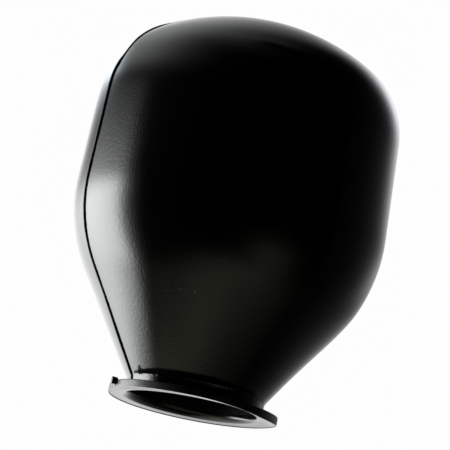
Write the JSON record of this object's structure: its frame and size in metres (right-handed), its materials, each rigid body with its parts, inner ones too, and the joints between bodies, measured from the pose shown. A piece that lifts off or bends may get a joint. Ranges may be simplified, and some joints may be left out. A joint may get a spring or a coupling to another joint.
{
  "type": "rubber squeeze bulb",
  "caption": "Hollow rubber squeeze bulb of a hand dust blower, with a seamed dome body, a short neck and a flanged open mouth; its side walls press in.",
  "frame": {"origin": "centre of the mouth flange's flat underside", "axes": "+Z along the bulb's axis from the mouth to the crown; the half shells' seam lies in the XZ plane, so the walls are squeezed along Y"},
  "size_m": [0.0608, 0.06, 0.0759],
  "materials": {
    "bulb_rubber": "glossy black moulded rubber, finely pitted",
    "seam_rubber": "black trimmed moulding bead, slightly dull",
    "neck_rubber": "satin black rubber",
    "flange_rubber": "satin black rubber with a smooth flat underside"
  },
  "bodies": {
    "bulb": {"front_half_shell": "bulb_rubber", "back_half_shell": "bulb_rubber", "parting_seam": "seam_rubber", "neck_collar": "neck_rubber", "mouth_flange": "flange_rubber"},
    "front_wall": {"front_squeeze_wall": "bulb_rubber"},
    "back_wall": {"back_squeeze_wall": "bulb_rubber"}
  },
  "joints": [
    {"name": "front_squeeze", "type": "slide", "parent": "bulb", "child": "front_wall", "axis": [0, 1, 0], "range_m": [0, 0.012], "stiffness_N_per_m": 1200},
    {"name": "back_squeeze", "type": "slide", "parent": "bulb", "child": "back_wall", "axis": [0, -1, 0], "range_m": [0, 0.012], "stiffness_N_per_m": 1200}
  ],
  "couplings": [
    {"joint": "back_squeeze", "follows": "front_squeeze", "ratio": 1}
  ]
}
